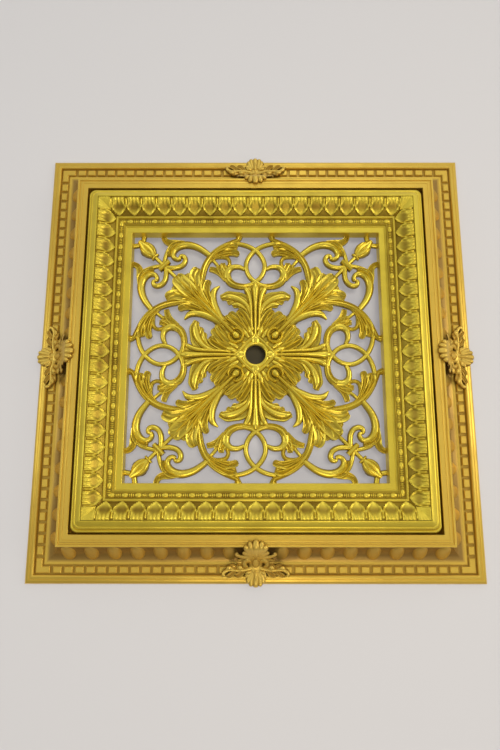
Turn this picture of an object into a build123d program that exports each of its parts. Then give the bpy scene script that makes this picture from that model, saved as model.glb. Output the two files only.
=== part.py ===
"""Decorative ceiling panel: four frame corners, four leaf clasps and a pierced centre, in millimetres."""
import os

from build123d import *

os.makedirs("parts", exist_ok=True)

# Overall
overall_side = 770.0
wall = 3.0

# Frame section, from the outer edge inwards
rim_width = 15.5
rim_edge = 4.5
rim_height = 10.5
band_width = 16.5
band_level = 4.0
foot_width = 3.5
foot_level = 7.0
cove_width = 30.0
cove_rise = 53.0
lip_width = 3.8
quirk_width = 3.4
quirk_depth = 2.0
top_width = 8.3
top_rise = 1.0

# Dentils on the band
dentil_length = 13.2
dentil_gap = 5.3
dentil_width = 10.5
dentil_height = 2.8
dentil_setback = 2.0
corner_dentil_reach = 24.0

# Clasps over the joints of the frame
clasp_half_length = 55.0
clasp_overhang = 5.0
clasp_thickness = 5.0
clasp_seat_gap = 0.3

# Centre panel border, from the panel's edge inwards
panel_gap = 6.5
panel_corner_radius = 11.0
skirt_top = 58.0
edge_width = 8.1
edge_rise = 11.5
crest_width = 11.1
crest_rise = 4.9
tongue_width = 28.7
tongue_drop = 18.4
tongue_relief = 1.8
tongues_per_side = 19
dart_width = 4.6
corner_leaf_reach = 21.8
fillet_width = 5.6
channel_width = 9.5
channel_depth = 3.0
bead_height = 2.6
step_width = 4.5
step_depth = 5.7
inner_band_width = 10.0
inner_band_depth = 7.1

# Scrollwork across the opening
drawn_opening = 440.0
openwork_back = 27.5
openwork_thickness = 8.0
leaf_thickness = 6.0
boss_thickness = 9.5
hub_hole_radius = 17.2
hub_wall = 7.0

# Positions that follow from them
half_side = overall_side / 2
frame_width = rim_width + band_width + foot_width + cove_width + lip_width + quirk_width + top_width
cove_start = rim_width + band_width + foot_width
cove_end = cove_start + cove_width
lip_level = foot_level + cove_rise
frame_height = lip_level + top_rise
panel_edge = frame_width + panel_gap
half_panel = half_side - panel_edge
crest_start = edge_width + crest_width
crest_level = skirt_top + edge_rise + crest_rise
fillet_start = crest_start + tongue_width
fillet_level = crest_level - tongue_drop
channel_start = fillet_start + fillet_width
channel_level = fillet_level - channel_depth
step_start = channel_start + channel_width
inner_band_start = step_start + step_width
panel_border = inner_band_start + inner_band_width
half_opening = half_panel - panel_border
scroll = 2 * half_opening / drawn_opening
drawn_edge = drawn_opening / 2 + wall


def stroke(points):
    """A stem or lobe from (x, y, width) points along its middle to its pointed tip, in straight runs."""
    middle = [Vector(x, y) * scroll for x, y, _ in points]
    spine = Edge.make_spline(middle) if len(points) > 2 else Edge.make_line(*middle)
    left, right = [], []
    for centre, (_, _, width) in zip(middle, points):
        along = spine.tangent_at(spine.param_at_point(centre))
        across = Vector(-along.Y, along.X) * width * scroll / 2
        left.append(centre + across)
        right.append(centre - across)
    tip = middle[-1] + spine.tangent_at(1) * points[-1][2] * scroll / 2
    with BuildSketch() as shape:
        with BuildLine():
            Polyline(*left, tip, *reversed(right), close=True)
        make_face()
    return shape.sketch


# The frame corner: one arm's section run to the mitre, then mirrored, with a ledge for the panel at the back
corner_mitre = Plane(origin=(-half_side, -half_side, 0), z_dir=(1, -1, 0))

with BuildPart() as frame_corner_front_left:
    with BuildSketch(Plane(origin=(0, -half_side, 0), x_dir=(0, 1, 0), z_dir=(1, 0, 0))) as frame_section:
        with BuildLine():
            Polyline((0, 0), (0, rim_edge))
            ThreePointArc((0, rim_edge), (rim_width * 0.52, rim_height), (rim_width, band_level + 1))
            Polyline(
                (rim_width, band_level + 1),
                (rim_width, band_level),
                (rim_width + band_width, band_level),
                (rim_width + band_width, foot_level),
                (cove_start, foot_level),
            )
            cove_foot = TangentArc(
                (cove_start, foot_level),
                (cove_start + 0.6 * cove_width, foot_level + 0.2 * cove_rise),
                tangent=(1, 0),
            )
            cove_top = TangentArc(cove_foot @ 1, (cove_end, lip_level), tangent=cove_foot % 1)
            Polyline(
                (cove_end, lip_level),
                (cove_end + lip_width, lip_level),
                (cove_end + lip_width, lip_level - quirk_depth),
                (frame_width - top_width, lip_level - quirk_depth),
                (frame_width - top_width, frame_height),
                (frame_width, frame_height),
                (frame_width, wall),
                (panel_edge + 3 * wall, wall),
                (panel_edge + 3 * wall, 0),
                (frame_width - wall, 0),
                (frame_width - wall, lip_level - quirk_depth - wall),
                (cove_end + wall, lip_level - quirk_depth - wall),
                cove_top @ 0.5 + Vector(wall, -wall / 3),
                cove_foot @ 1 + Vector(wall, -wall / 2),
            )
            cove_back = TangentArc(
                cove_foot @ 1 + Vector(wall, -wall / 2),
                (cove_start + 2 * wall, band_level),
                tangent=-(cove_foot % 1),
            )
            Polyline(cove_back @ 1, ((cove_back @ 1).X, 0), (0, 0))
        make_face()
    extrude(amount=-half_side)
    # Dentils along the arm; the longer one at the corner meets its mirror image to make an L
    dentil_pitch = dentil_length + dentil_gap
    dentils_edge = rim_width + dentil_setback
    dentils_start = dentils_edge + corner_dentil_reach + dentil_gap
    with BuildSketch(Plane.XY.offset(band_level)):
        with Locations((dentils_edge - half_side, dentils_edge - half_side)):
            Rectangle(corner_dentil_reach, dentil_width, align=(Align.MIN, Align.MIN))
        for number in range(int((half_side - dentils_start) / dentil_pitch)):
            with Locations((dentils_start + number * dentil_pitch - half_side, dentils_edge - half_side)):
                Rectangle(dentil_length, dentil_width, align=(Align.MIN, Align.MIN))
    extrude(amount=dentil_height)
    split(bisect_by=corner_mitre)
    mirror(about=corner_mitre)
frame_corner_front_left.part.label = "frame_corner_front_left"
export_step(frame_corner_front_left.part, "parts/frame_corner_front_left.step")

with BuildPart() as frame_corner_front_right:
    with Locations(Rotation(0, 0, 90)):
        add(frame_corner_front_left.part)
frame_corner_front_right.part.label = "frame_corner_front_right"
export_step(frame_corner_front_right.part, "parts/frame_corner_front_right.step")

with BuildPart() as frame_corner_back_right:
    with Locations(Rotation(0, 0, 180)):
        add(frame_corner_front_left.part)
frame_corner_back_right.part.label = "frame_corner_back_right"
export_step(frame_corner_back_right.part, "parts/frame_corner_back_right.step")

with BuildPart() as frame_corner_back_left:
    with Locations(Rotation(0, 0, 270)):
        add(frame_corner_front_left.part)
frame_corner_back_left.part.label = "frame_corner_back_left"
export_step(frame_corner_back_left.part, "parts/frame_corner_back_left.step")

# The clasp: a section that bridges the cove from the rim to the frame's top, trimmed to the leaf's outline
with BuildPart() as clasp_front:
    seat = rim_height + clasp_seat_gap
    band_seat = max(foot_level, band_level + dentil_height) + clasp_seat_gap
    with BuildSketch(Plane(origin=(0, -half_side, 0), x_dir=(0, 1, 0), z_dir=(1, 0, 0))):
        with BuildLine():
            Polyline(
                (-clasp_overhang, rim_edge),
                (-clasp_overhang, seat),
                (0, seat + clasp_thickness),
                (rim_width / 2, seat + clasp_thickness),
                (rim_width + band_width / 2, band_seat + clasp_thickness),
                (cove_start, band_seat + 2 * clasp_thickness),
                (cove_start + cove_width / 2, foot_level + 0.55 * cove_rise),
                (cove_end - 3, frame_height),
                (cove_end + lip_width, frame_height + clasp_thickness),
                (frame_width - top_width / 2, frame_height + clasp_thickness),
                (frame_width - 2, frame_height),
                (cove_end - clasp_seat_gap, frame_height),
                (cove_start, band_seat),
                (rim_width + 1, band_seat),
                (rim_width - 1, seat),
                (-clasp_seat_gap, seat),
                (-clasp_seat_gap, rim_edge),
                close=True,
            )
        make_face()
    extrude(amount=clasp_half_length, both=True)
    with BuildSketch(Plane((0, -half_side, 0))):
        with BuildLine():
            sprig = clasp_half_length
            shell = Polyline(
                (0, -clasp_overhang), (5, -clasp_overhang + 0.8), (7, -2), (11, -1), (13, 4), (17, 11),
            )
            lower = Polyline(
                shell @ 1, (sprig - 21, rim_width - 3.5), (sprig - 6, rim_width - 3),
                (sprig, rim_width + 2), (sprig - 3, rim_width + 9), (sprig - 11, rim_width + band_width),
                (sprig - 19, rim_width + 11), (sprig - 24, rim_width + band_width + 2),
                (20, rim_width + band_width - 2), (17, cove_start + 2),
            )
            arm = Polyline(
                lower @ 1, (32, cove_start + 3), (27, cove_start + 8), (34, cove_start + 17),
                (14, cove_end - 17),
            )
            palmette = Polyline(
                arm @ 1, (21.5, cove_end - 8), (15, cove_end - 6), (17.5, cove_end + lip_width),
                (11, cove_end + 2), (10, frame_width - 5), (5, frame_width - 8), (0, frame_width - 2),
            )
            mirror(about=Plane.YZ)
        make_face()
    extrude(amount=frame_height + 2 * clasp_thickness, mode=Mode.INTERSECT)
clasp_front.part.label = "clasp_front"
export_step(clasp_front.part, "parts/clasp_front.step")

with BuildPart() as clasp_right:
    with Locations(Rotation(0, 0, 90)):
        add(clasp_front.part)
clasp_right.part.label = "clasp_right"
export_step(clasp_right.part, "parts/clasp_right.step")

with BuildPart() as clasp_back:
    with Locations(Rotation(0, 0, 180)):
        add(clasp_front.part)
clasp_back.part.label = "clasp_back"
export_step(clasp_back.part, "parts/clasp_back.step")

with BuildPart() as clasp_left:
    with Locations(Rotation(0, 0, 270)):
        add(clasp_front.part)
clasp_left.part.label = "clasp_left"
export_step(clasp_left.part, "parts/clasp_left.step")

# One eighth of the scrollwork, above the diagonal of the quarter: (x, y, width) along each stem or lobe
with BuildSketch() as stems_eighth:
    # The big C-scroll and its tab to the border
    add(stroke([
        (97, 112, 6), (96.3, 132, 9), (92.5, 157, 11), (83.5, 177.5, 11), (68, 194, 10), (52, 204, 9),
        (34, 212, 8),
    ]))
    add(stroke([(36, 210, 7), (30.5, 215, 9), (29, drawn_edge, 13)]))
    # The thin stem that crosses the axis twice
    add(stroke([
        (34, 208, 7), (14, 202.5, 7.5), (-7, 188, 7.5), (-16.5, 167, 7.5), (-13.5, 148, 7.5), (0, 134, 7.5),
        (12, 128, 8),
    ]))
    # The small scroll below it
    add(stroke([
        (0, 128, 8), (16, 125.2, 10), (33, 126.5, 11), (46, 134, 13), (51, 148, 14), (45, 159.5, 11),
        (32, 162.5, 8.5), (19, 157.5, 6),
    ]))
    # The corner S-scroll, its volute, its outer strand and its tab
    add(stroke([
        (82, 184, 9), (100, 197.5, 11), (124, 205, 13), (141, 200, 12.5), (149, 187.5, 9.5), (141, 177.5, 7),
    ]))
    add(stroke([
        (167, 160, 6), (138, 162, 8.5), (129, 168, 8.5), (126.5, 176, 8.5), (131, 182.5, 7),
    ]))
    add(stroke([(150, 203, 6), (160, 190, 6.5), (164.5, 172, 6.5), (162, 157, 6.5)]))
    add(stroke([(135, 206, 8), (160, 208, 9), (165.5, drawn_edge, 9)]))
    # The rod on the diagonal and the ribs of the two great leaves
    add(stroke([(135, 135, 6.5), (190, 190, 6.5)]))
    add(stroke([(36, 36, 10), (64, 64, 14), (128, 128, 3)]))
    add(stroke([(0, 20, 8), (0, 90, 9), (0, 122, 5)]))
    Circle(hub_hole_radius + hub_wall)

with BuildSketch() as leaves_eighth:
    # The C-scroll's end leaf and the leaf and bar of the small scroll
    add(stroke([(82, 180, 9), (50, 199.5, 13), (32, 199, 6)]))
    add(stroke([(80, 179, 9), (48, 190, 12), (29, 185.5, 5)]))
    add(stroke([(84, 178, 7), (54, 181, 6), (47, 169, 5.5), (53, 158, 6)]))
    add(stroke([(48, 135, 8), (55, 155, 9), (57, 168, 6)]))
    add(stroke([(48, 135, 8), (58, 149, 10), (66, 166, 5)]))
    add(stroke([(52, 138, 8), (64, 151, 9), (83, 158, 6)]))
    add(stroke([(64, 160, 5), (78, 177, 5)]))
    # The diagonal leaf, lobe by lobe from the hub outwards
    add(stroke([(36, 36, 16), (64, 64, 18), (84, 84, 20)]))
    add(stroke([(60, 62, 12), (75, 98, 13), (73, 118, 10), (64, 126, 3)]))
    add(stroke([(68, 70, 12), (82, 95, 14), (88, 116, 12), (82.5, 137.5, 3)]))
    add(stroke([(80, 82, 12), (93, 105, 14), (96, 132, 8)]))
    add(stroke([(88, 90, 14), (102, 112, 18), (109, 140, 20), (103, 160, 6)]))
    add(stroke([(96, 98, 16), (112, 120, 22), (126, 148, 7)]))
    add(stroke([(98, 98, 20), (126, 126, 30), (143, 143, 12)]))
    # The leaf on the axis and the small leaves round the hub
    add(stroke([(0, 30, 16), (0, 126, 16)]))
    add(stroke([(4, 72, 16), (26, 105, 19), (48, 106.5, 13), (60.5, 103.5, 4)]))
    add(stroke([(6, 66, 10), (15, 82, 14), (28, 91, 10), (41, 90.5, 5)]))
    add(stroke([(8, 42, 12), (20, 67, 14), (32, 81, 4)]))
    add(stroke([(12, 40, 12), (28, 60, 16), (48, 75, 5)]))
    add(stroke([(16, 38, 12), (38, 57, 14), (56, 68, 5)]))
    RegularPolygon(50 * scroll, 16)

with BuildSketch() as bosses_eighth:
    # The tie and the bud on the diagonal, with the bud's tab
    add(stroke([(156.5, 171.5, 7), (171.5, 156.5, 7)]))
    add(stroke([(183, 183, 9), (194, 194, 24), (200, 200, 21), (210, 210, 10)]))
    add(stroke([(205, 207, 9), (202.5, drawn_edge, 9)]))

# One tongue of the row below the crest: its side section, cut to a pointed arch in plan
bed_start = crest_start + 1.2
bed_break = crest_start + 0.5 * tongue_width
bed_level = crest_level - 0.32 * tongue_drop
tongue_pitch = 2 * (half_panel - crest_start - corner_leaf_reach) / tongues_per_side
tongue_half = (tongue_pitch - dart_width) / 2

with BuildPart() as tongue:
    with BuildSketch(Plane(origin=(0, -half_panel, 0), x_dir=(0, 1, 0), z_dir=(1, 0, 0))):
        with BuildLine():
            Polyline(
                (bed_start, crest_level - tongue_relief - 1),
                (bed_start, crest_level - 0.4),
                (bed_break, bed_level),
                (fillet_start, fillet_level),
                (fillet_start, fillet_level - tongue_relief - 1),
                (bed_break, bed_level - tongue_relief - 1),
                close=True,
            )
        make_face()
    extrude(amount=tongue_half, both=True)
    with BuildSketch(Plane((0, -half_panel, 0))):
        with BuildLine():
            Polyline(
                (-tongue_half, bed_start),
                (tongue_half, bed_start),
                (tongue_half, bed_start + 0.6 * tongue_width),
                (0, fillet_start - 0.5),
                (-tongue_half, bed_start + 0.6 * tongue_width),
                close=True,
            )
        make_face()
    extrude(amount=2 * crest_level, mode=Mode.INTERSECT)

# One side of the border mouldings, from the crest down to the opening, cut to its two mitres
with BuildPart() as border_side:
    with BuildSketch(Plane(origin=(0, -half_panel, 0), x_dir=(0, 1, 0), z_dir=(1, 0, 0))):
        with BuildLine():
            Polyline(
                (crest_start, crest_level - wall),
                (crest_start, crest_level),
                (bed_start, crest_level),
                (bed_start, crest_level - tongue_relief),
                (bed_break, bed_level - tongue_relief),
                (fillet_start, fillet_level - tongue_relief),
                (fillet_start, fillet_level),
                (channel_start - 2, fillet_level),
                (channel_start, channel_level),
            )
            ThreePointArc(
                (channel_start, channel_level),
                (channel_start + channel_width / 2, channel_level + bead_height),
                (step_start, channel_level),
            )
            Polyline(
                (step_start, channel_level),
                (step_start + 1, fillet_level - step_depth),
                (inner_band_start, fillet_level - step_depth),
                (inner_band_start, fillet_level - inner_band_depth),
                (panel_border, fillet_level - inner_band_depth),
                (panel_border, openwork_back),
                (panel_border - wall, openwork_back),
                (panel_border - wall, fillet_level - inner_band_depth - wall),
                (step_start + 1, fillet_level - inner_band_depth - wall),
                (step_start - wall, channel_level - wall),
                (channel_start, channel_level - wall),
                (fillet_start - wall, fillet_level - 2 * wall),
                (bed_break - wall, bed_level - 2 * wall),
                (crest_start, crest_level - 2 * wall),
                (crest_start, crest_level - wall),
            )
        make_face()
    extrude(amount=half_panel, both=True)
    for number in range(tongues_per_side):
        with Locations(((number - (tongues_per_side - 1) / 2) * tongue_pitch, 0, 0)):
            add(tongue.part)
    split(bisect_by=Plane(origin=(-half_panel, -half_panel, 0), z_dir=(1, -1, 0)))
    split(bisect_by=Plane(origin=(half_panel, -half_panel, 0), z_dir=(-1, -1, 0)))

# The centre panel: rounded rim, mitred border mouldings and the scrollwork across the opening
with BuildPart() as centre_panel:
    # Rim, from the skirt up to the crest, then its hollow back
    for inset, mode in ((0, Mode.ADD), (wall, Mode.SUBTRACT)):
        skirt_side = 2 * (half_panel - inset)
        edge_side = skirt_side - 2 * edge_width
        crest_side = skirt_side - 2 * crest_start
        edge_radius = panel_corner_radius - edge_width / 3
        with BuildSketch(Plane.XY.offset(wall)):
            RectangleRounded(skirt_side, skirt_side, panel_corner_radius - inset)
        extrude(amount=skirt_top - wall - inset, mode=mode)
        with BuildSketch(Plane.XY.offset(skirt_top - inset)):
            RectangleRounded(skirt_side, skirt_side, panel_corner_radius - inset)
        with BuildSketch(Plane.XY.offset(skirt_top + edge_rise - inset)):
            RectangleRounded(edge_side, edge_side, edge_radius - inset)
        loft(ruled=True, mode=mode)
        with BuildSketch(Plane.XY.offset(skirt_top + edge_rise - inset)):
            RectangleRounded(edge_side, edge_side, edge_radius - inset)
        with BuildSketch(Plane.XY.offset(crest_level - inset)):
            RectangleRounded(crest_side, crest_side, edge_radius / 2 - inset)
        loft(ruled=True, mode=mode)
    with BuildSketch(Plane.XY.offset(wall)):
        Rectangle(2 * (half_panel - crest_start), 2 * (half_panel - crest_start))
    extrude(amount=crest_level, mode=Mode.SUBTRACT)
    with PolarLocations(0, 4):
        add(border_side.part)
    # Scrollwork: each eighth mirrored all round at its own height, with the hub's hole
    for eighth, thickness in (
        (leaves_eighth, leaf_thickness), (stems_eighth, openwork_thickness), (bosses_eighth, boss_thickness),
    ):
        with BuildSketch(Plane.XY.offset(openwork_back)):
            add(eighth.sketch)
            mirror(eighth.sketch, about=Plane(origin=(0, 0, 0), z_dir=(1, -1, 0)))
            mirror(about=Plane.YZ)
            mirror(about=Plane.XZ)
            Rectangle(2 * half_opening + wall, 2 * half_opening + wall, mode=Mode.INTERSECT)
        extrude(amount=thickness)
    with BuildSketch(Plane.XY.offset(openwork_back)):
        Circle(hub_hole_radius)
    extrude(amount=boss_thickness, mode=Mode.SUBTRACT)
centre_panel.part.label = "centre_panel"
export_step(centre_panel.part, "parts/centre_panel.step")
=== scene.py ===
"""A gilded coffered ceiling panel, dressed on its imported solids: frame, clasps and a pierced panel."""
import math

import bmesh
import bpy
import numpy as np
from mathutils import Matrix, Vector


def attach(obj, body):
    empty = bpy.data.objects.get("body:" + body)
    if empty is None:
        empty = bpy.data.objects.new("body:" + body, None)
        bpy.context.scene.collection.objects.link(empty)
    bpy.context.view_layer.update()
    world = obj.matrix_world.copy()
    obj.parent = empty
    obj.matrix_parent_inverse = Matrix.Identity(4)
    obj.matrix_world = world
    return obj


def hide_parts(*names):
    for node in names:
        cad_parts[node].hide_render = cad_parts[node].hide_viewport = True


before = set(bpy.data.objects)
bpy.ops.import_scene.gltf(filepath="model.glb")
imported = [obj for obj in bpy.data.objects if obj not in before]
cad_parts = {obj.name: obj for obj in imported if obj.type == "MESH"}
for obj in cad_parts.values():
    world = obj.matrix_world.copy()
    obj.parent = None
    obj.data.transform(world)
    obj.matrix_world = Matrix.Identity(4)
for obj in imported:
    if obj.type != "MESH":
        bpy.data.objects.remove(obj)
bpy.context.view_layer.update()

# The room: a pale matt floor under the panel, soft boxes above and on all four sides, and the camera
# that looks steeply down at the panel from just in front of it. Places are in metres.
scene = bpy.context.scene
scene.view_settings.view_transform = "Standard"


def add_node(tree, kind, inputs=None, **settings):
    """Adds a node, sets its options, and links or sets the inputs that are given by name or number."""
    node = tree.nodes.new(kind)
    for key, value in settings.items():
        setattr(node, key, value)
    for key, value in (inputs or {}).items():
        if isinstance(value, bpy.types.NodeSocket):
            tree.links.new(value, node.inputs[key])
        else:
            node.inputs[key].default_value = value
    return node


def add_object(name, data):
    """A new object in the scene that holds a mesh, a lamp or a camera."""
    made = bpy.data.objects.new(name, data)
    scene.collection.objects.link(made)
    return made


floor_reach = 6.0
corner_signs = ((-1, -1), (1, -1), (1, 1), (-1, 1))
floor_mesh = bpy.data.meshes.new("floor")
floor_mesh.from_pydata([(x * floor_reach, y * floor_reach, 0) for x, y in corner_signs], [], [(0, 1, 2, 3)])
floor = add_object("floor", floor_mesh)
floor_paint = bpy.data.materials.new("floor_paint")
floor_paint.use_nodes = True
floor_shader = floor_paint.node_tree.nodes["Principled BSDF"]
floor_shader.inputs["Base Color"].default_value = (0.62, 0.59, 0.535, 1)
floor_shader.inputs["Roughness"].default_value = 0.8
floor_mesh.materials.append(floor_paint)

# A dark disc on the floor under the lamp hole: a painted shadow, so that the hole reads as a deep one
patch_radius, patch_level, patch_sides = 0.03, 0.0002, 32
patch_turns = np.linspace(0, 2 * math.pi, patch_sides, endpoint=False)
patch_edge = [(patch_radius * math.cos(a), patch_radius * math.sin(a), patch_level) for a in patch_turns]
painted_shade_mesh = bpy.data.meshes.new("dark_disc")
painted_shade_mesh.from_pydata(patch_edge, [], [tuple(range(patch_sides))])
dark_disc = add_object("dark_disc", painted_shade_mesh)
dark_paint = floor_paint.copy()
dark_paint.name = "dark_paint"
dark_paint.node_tree.nodes["Principled BSDF"].inputs["Base Color"].default_value = (0.10, 0.085, 0.05, 1)
painted_shade_mesh.materials.append(dark_paint)

# The floor looks a little paler than it is, in its shaded parts too, and keeps the panel's shadow
pale_part, pale_colour = 0.42, (0.60, 0.58, 0.61, 1)
floor_tree = floor_paint.node_tree
rays = add_node(floor_tree, "ShaderNodeLightPath").outputs
seen = add_node(floor_tree, "ShaderNodeMath", {
    0: rays["Is Camera Ray"], 1: rays["Is Glossy Ray"]}, operation="ADD", use_clamp=True).outputs[0]
seen = add_node(floor_tree, "ShaderNodeMath", {
    0: seen, 1: rays["Is Transmission Ray"]}, operation="ADD", use_clamp=True).outputs[0]
pale_share = add_node(floor_tree, "ShaderNodeMath", {
    0: seen, 1: pale_part}, operation="MULTIPLY").outputs[0]
pale = add_node(floor_tree, "ShaderNodeEmission", {"Color": pale_colour}).outputs[0]
paler = add_node(floor_tree, "ShaderNodeMixShader", {
    0: pale_share, 1: floor_shader.outputs[0], 2: pale}).outputs[0]
floor_tree.links.new(paler, floor_tree.nodes["Material Output"].inputs["Surface"])

# The sky is a little brighter to the right and at the back
sky_lean, sky_level = (0.16, 0.24, 0), 0.42
world = bpy.data.worlds.new("studio")
scene.world = world
world.use_nodes = True
sky_tree = world.node_tree
sky = sky_tree.nodes["Background"]
sky.inputs["Color"].default_value = (0.92, 0.94, 1.0, 1)
direction = add_node(sky_tree, "ShaderNodeTexCoord").outputs["Generated"]
lean = add_node(sky_tree, "ShaderNodeVectorMath", {
    0: direction, 1: sky_lean}, operation="DOT_PRODUCT").outputs["Value"]
strength = add_node(sky_tree, "ShaderNodeMath", {
    0: lean, 1: sky_level}, operation="ADD", use_clamp=True).outputs[0]
sky_tree.links.new(strength, sky.inputs["Strength"])

for name, place, size, power, colour in (
    ("top_box", (0.3, -0.1, 2.6), 0.8, 30, (1.0, 0.98, 0.98)),
    ("back_box", (0.3, 2.3, 2.2), 1.5, 9, (0.95, 1.0, 1.0)),
    ("right_box", (2.3, 0.2, 1.7), 1.3, 21, (1.0, 0.94, 0.82)),
    ("left_box", (-2.2, 0.2, 2.0), 1.5, 13, (0.93, 1.0, 1.0)),
    ("front_box", (0.2, -1.8, 2.3), 1.2, 14, (1.0, 0.88, 0.70)),
):
    lamp = bpy.data.lights.new(name, "AREA")
    lamp.size = size
    lamp.energy = power
    lamp.color = colour
    lamp_object = add_object(name, lamp)
    lamp_object.location = place
    lamp_object.rotation_euler = (-Vector(place)).to_track_quat("-Z", "Y").to_euler()
    lamp_object.visible_glossy = name != "top_box"

camera = add_object("camera", bpy.data.cameras.new("camera"))
camera.data.sensor_width = 36
camera.data.lens = 26.2
camera.location = (-0.0077, -0.211, 0.9615)
look = Vector((-0.002, 0.185, -0.983)).to_track_quat("-Z", "Y").to_matrix()
roll = Matrix.Rotation(math.radians(-0.6), 3, "Z")
camera.rotation_euler = (look @ roll).to_euler()
scene.camera = camera


# The frame: four L-shaped mouldings of rigid foam-cast plastic under warm gold paint, open at the back.
# A rounded rim, a band of teeth, a hollow cove with half-round eggs in it, and a flat lip at the top.
# The four meet at the middle of each side, and a hidden ledge inside them carries the panel.
def gold_paint(name, bright, deep, roughness, wear):
    """A gold paint: partly metallic, a little mottled, and darker with painted shade in the recesses that a
    mesh marks.
    """
    material = bpy.data.materials.new(name)
    material.use_nodes = True
    tree = material.node_tree
    shader = tree.nodes["Principled BSDF"]
    effect = add_node(tree, "ShaderNodeGroup", node_tree=gilt_effect)
    effect.inputs["Bright"].default_value = (*bright, 1)
    effect.inputs["Deep"].default_value = (*deep, 1)
    effect.inputs["Roughness"].default_value = roughness
    effect.inputs["Wear"].default_value = wear
    tree.links.new(effect.outputs["Color"], shader.inputs["Base Color"])
    tree.links.new(effect.outputs["Roughness"], shader.inputs["Roughness"])
    bump = add_node(tree, "ShaderNodeBump", {
        "Strength": 0.18, "Distance": 0.0006, "Height": effect.outputs["Height"]})
    tree.links.new(bump.outputs["Normal"], shader.inputs["Normal"])
    shader.inputs["Metallic"].default_value = 0.72
    return material


gilt_effect = bpy.data.node_groups.new("gilt_effect", "ShaderNodeTree")
for socket, kind, default in (
    ("Bright", "NodeSocketColor", (0.7, 0.5, 0.1, 1)),
    ("Deep", "NodeSocketColor", (0.3, 0.18, 0.03, 1)),
    ("Roughness", "NodeSocketFloat", 0.35),
    ("Wear", "NodeSocketFloat", 0.5),
):
    gilt_effect.interface.new_socket(socket, in_out="INPUT", socket_type=kind).default_value = default
for socket, kind in (
    ("Color", "NodeSocketColor"),
    ("Roughness", "NodeSocketFloat"),
    ("Height", "NodeSocketFloat"),
):
    gilt_effect.interface.new_socket(socket, in_out="OUTPUT", socket_type=kind)
gilt_in = gilt_effect.nodes.new("NodeGroupInput").outputs
gilt_out = gilt_effect.nodes.new("NodeGroupOutput").inputs
place = add_node(gilt_effect, "ShaderNodeTexCoord").outputs["Object"]
# Painted shade in recesses and gaps, read from a point attribute of each mesh
painted_shade_mask = add_node(gilt_effect, "ShaderNodeAttribute", attribute_name="hollow").outputs["Fac"]
mottle = add_node(gilt_effect, "ShaderNodeTexNoise", {
    "Vector": place, "Scale": 22.0, "Detail": 4.0}).outputs["Fac"]
speckle = add_node(gilt_effect, "ShaderNodeTexNoise", {
    "Vector": place, "Scale": 900.0, "Detail": 2.0}).outputs["Fac"]
patch = add_node(gilt_effect, "ShaderNodeMapRange", {
    "Value": mottle, "From Min": 0.42, "From Max": 0.72}).outputs[0]
worn = add_node(gilt_effect, "ShaderNodeMath", {
    0: patch, 1: gilt_in["Wear"]}, operation="MULTIPLY").outputs[0]
# The random wear patches plus the painted shade, which pull the colour towards Deep
wear_and_shade = add_node(gilt_effect, "ShaderNodeMath", {
    0: worn, 1: painted_shade_mask}, operation="ADD", use_clamp=True).outputs[0]

# The sockets for colours on a Mix node, which share their names with its other sockets
first_colour, second_colour, mixed_colour = 6, 7, 2
tone = add_node(gilt_effect, "ShaderNodeMix", {
    "Factor": wear_and_shade, first_colour: gilt_in["Bright"], second_colour: gilt_in["Deep"]}, data_type="RGBA")
gilt_effect.links.new(tone.outputs[mixed_colour], gilt_out["Color"])
patch_roughness = 0.12
rough = add_node(gilt_effect, "ShaderNodeMath", {
    0: patch, 1: patch_roughness, 2: gilt_in["Roughness"]}, operation="MULTIPLY_ADD").outputs[0]
gilt_effect.links.new(rough, gilt_out["Roughness"])
gilt_effect.links.new(speckle, gilt_out["Height"])

frame_gold = gold_paint("frame_gold", (0.76, 0.50, 0.07), (0.34, 0.19, 0.025), 0.33, 0.2)
# A darker, rougher copy of the frame gold for the cove and its eggs: painted shade
cove_gold = gold_paint("cove_gold", (0.62, 0.39, 0.065), (0.34, 0.20, 0.045), 0.4, 0.3)
mm = 0.001


def arc(centre, radii, start, stop, count):
    """Points on an elliptical arc, angles in degrees."""
    turns = np.radians(np.linspace(start, stop, count))
    return [(centre[0] + radii[0] * math.cos(a), centre[1] + radii[1] * math.sin(a)) for a in turns]


def plain_mesh(name, points, faces, smooth):
    """A mesh object from points in millimetres, smooth but for edges sharper than the angle."""
    mesh = bpy.data.meshes.new(name)
    mesh.from_pydata([tuple(c * mm for c in p) for p in points], [], faces)
    mesh.shade_smooth()
    mesh.set_sharp_from_angle(angle=math.radians(smooth))
    return add_object(name, mesh)


def tube_faces(stations, size, closed=True):
    """Faces between neighbouring stations of a tube, each a closed section of so many points."""
    faces = []
    for k in range(stations if closed else stations - 1):
        here, ahead = k * size, (k + 1) % stations * size
        for i in range(size):
            j = (i + 1) % size
            faces.append((here + i, ahead + i, ahead + j, here + j))
    return faces


# The section in millimetres: u is the way in from the frame's outer edge, and z the height
half_side = 385.0
band_floor = 4
cove_centre, cove_radii, cove_back_radii = (35.5, 60), (30, 53), (33, 56)
rim = [(0, 0), (0, 3)] + arc((7.6, 3), (7.6, 6.4), 172, 90, 7) + [(8, 8.9), (8.4, 9.4)]
rim += arc((11.8, 7), (3.4, 3.5), 135, 0, 7) + [(15.5, band_floor)]
band = [(30.8, band_floor), (31.1, 6.4), (32, 7.2), (34.6, 7.2), (35.4, 6.9)]
cove = arc(cove_centre, cove_radii, 272, 357, 15)
lip = [(65.5, 59.3), (66, 60), (68.8, 60), (69.3, 59.5), (69.6, 58), (72.3, 58), (72.7, 60.2), (73.2, 60.8)]
lip += [(76, 61), (76.4, 60.5), (76.8, 61), (84.2, 61), (84.8, 60.4), (84.6, 58.6), (81, 56)]
ledge = [(81, 3), (96.5, 3), (96.5, 0), (78, 0), (78, 55)]
back = [(68.4, 55)] + arc(cove_centre, cove_back_radii, 350, 282, 10)
section = rim + band + cove + lip + ledge + back + [(back[-1][0], 0)]
count = len(section)
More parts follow.
